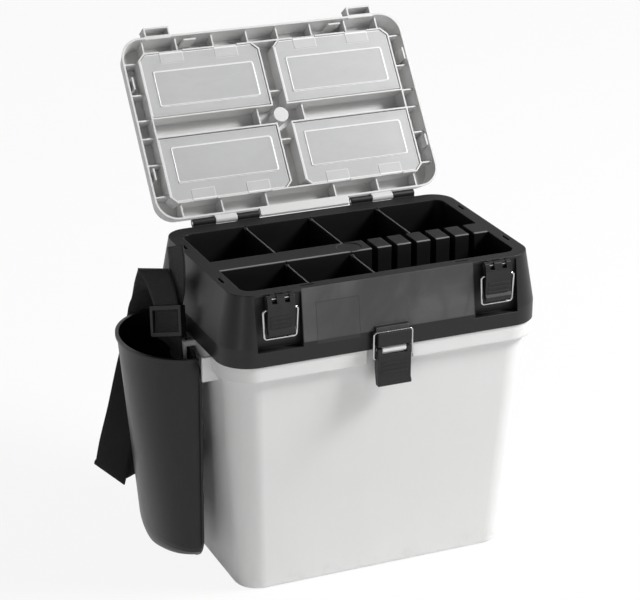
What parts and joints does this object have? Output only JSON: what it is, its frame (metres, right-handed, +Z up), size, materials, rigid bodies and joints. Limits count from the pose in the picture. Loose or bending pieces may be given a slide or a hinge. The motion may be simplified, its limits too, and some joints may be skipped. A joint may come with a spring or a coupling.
{
  "type": "ice fishing box",
  "caption": "Ice fishing box: a tapered pail with a hinged tray section, a ribbed lid with covered bins, wire-bail latches, a side rod holster and a shoulder strap.",
  "frame": {"origin": "middle of the pail's base, on the ground", "axes": "+X to the right, +Y to the back, +Z up"},
  "size_m": [0.4694, 0.4002, 0.5522],
  "materials": {
    "grey_plastic": "fine moulded grain, pale grey",
    "black_plastic": "moulded grain, black, scuffed",
    "frosted_plastic": "frosted, slightly see-through",
    "steel": "bright drawn wire",
    "holster_plastic": "satin black",
    "adjuster_plastic": "satin black",
    "webbing": "black woven webbing"
  },
  "bodies": {
    "pail": {"bucket": "grey_plastic", "centre_pin": "steel", "section_pin_left": "steel", "section_pin_right": "steel", "tri_glide": "adjuster_plastic", "strap_loop_left": "webbing", "strap_tail": "webbing", "strap_rise": "webbing", "strap_fall": "webbing", "strap_back_run": "webbing", "strap_loop_right": "webbing"},
    "section": {"tray_section": "black_plastic", "divider_rear_1": "black_plastic", "divider_rear_2": "black_plastic", "divider_rear_3": "black_plastic", "divider_front_1": "black_plastic", "divider_front_2": "black_plastic", "lid_pin_left": "steel", "lid_pin_right": "steel", "latch_pin_left": "steel", "latch_pin_right": "steel"},
    "lid": {"lid": "grey_plastic", "lid_ribs": "grey_plastic"},
    "cover_front_left": {"cover_front_left": "frosted_plastic"},
    "cover_front_right": {"cover_front_right": "frosted_plastic"},
    "cover_rear_left": {"cover_rear_left": "frosted_plastic"},
    "cover_rear_right": {"cover_rear_right": "frosted_plastic"},
    "latch_lever_left": {"latch_lever_left": "black_plastic"},
    "latch_bail_left": {"latch_bail_left": "steel"},
    "latch_lever_right": {"latch_lever_right": "black_plastic"},
    "latch_bail_right": {"latch_bail_right": "steel"},
    "centre_lever": {"centre_lever": "black_plastic"},
    "centre_bail": {"centre_bail": "steel"},
    "holster": {"holster": "holster_plastic"}
  },
  "joints": [
    {"name": "section_tilt", "type": "hinge", "parent": "pail", "child": "section", "pos_m": [0, 0.12425, 0.2791], "axis": [-1, 0, 0], "range_deg": [0, 95]},
    {"name": "lid_hinge", "type": "hinge", "parent": "section", "child": "lid", "pos_m": [0, 0.1156, 0.3608], "axis": [1, 0, 0], "range_deg": [0, 126.7]},
    {"name": "cover_front_left_hinge", "type": "hinge", "parent": "lid", "child": "cover_front_left", "pos_m": [-0.083, 0.19507, 0.46608], "axis": [-1, 0, 0], "range_deg": [-95, 0]},
    {"name": "cover_front_right_hinge", "type": "hinge", "parent": "lid", "child": "cover_front_right", "pos_m": [0.083, 0.19507, 0.46608], "axis": [-1, 0, 0], "range_deg": [-95, 0]},
    {"name": "cover_rear_left_hinge", "type": "hinge", "parent": "lid", "child": "cover_rear_left", "pos_m": [-0.083, 0.17559, 0.43994], "axis": [1, 0, 0], "range_deg": [-95, 0]},
    {"name": "cover_rear_right_hinge", "type": "hinge", "parent": "lid", "child": "cover_rear_right", "pos_m": [0.083, 0.17559, 0.43994], "axis": [1, 0, 0], "range_deg": [-95, 0]},
    {"name": "latch_lever_left_hinge", "type": "hinge", "parent": "section", "child": "latch_lever_left", "pos_m": [-0.1274, -0.1154, 0.3536], "axis": [1, 0, 0], "range_deg": [-110, 0]},
    {"name": "latch_bail_left_hinge", "type": "hinge", "parent": "latch_lever_left", "child": "latch_bail_left", "pos_m": [-0.1274, -0.118, 0.3425], "axis": [-1, 0, 0], "range_deg": [0, 180]},
    {"name": "latch_lever_right_hinge", "type": "hinge", "parent": "section", "child": "latch_lever_right", "pos_m": [0.1274, -0.1154, 0.3536], "axis": [1, 0, 0], "range_deg": [-110, 0]},
    {"name": "latch_bail_right_hinge", "type": "hinge", "parent": "latch_lever_right", "child": "latch_bail_right", "pos_m": [0.1274, -0.118, 0.3425], "axis": [-1, 0, 0], "range_deg": [0, 180]},
    {"name": "centre_lever_hinge", "type": "hinge", "parent": "pail", "child": "centre_lever", "pos_m": [0, -0.12505, 0.28], "axis": [-1, 0, 0], "range_deg": [0, 95]},
    {"name": "centre_bail_hinge", "type": "hinge", "parent": "centre_lever", "child": "centre_bail", "pos_m": [0, -0.12505, 0.27], "axis": [-1, 0, 0], "range_deg": [-133, 0]},
    {"name": "holster_slide", "type": "slide", "parent": "pail", "child": "holster", "axis": [0, 0, -1], "range_m": [0, 0.02]}
  ],
  "couplings": [
    {"joint": "centre_lever_hinge", "follows": "section_tilt", "ratio": 1},
    {"joint": "centre_bail_hinge", "follows": "section_tilt", "ratio": -1.4}
  ]
}
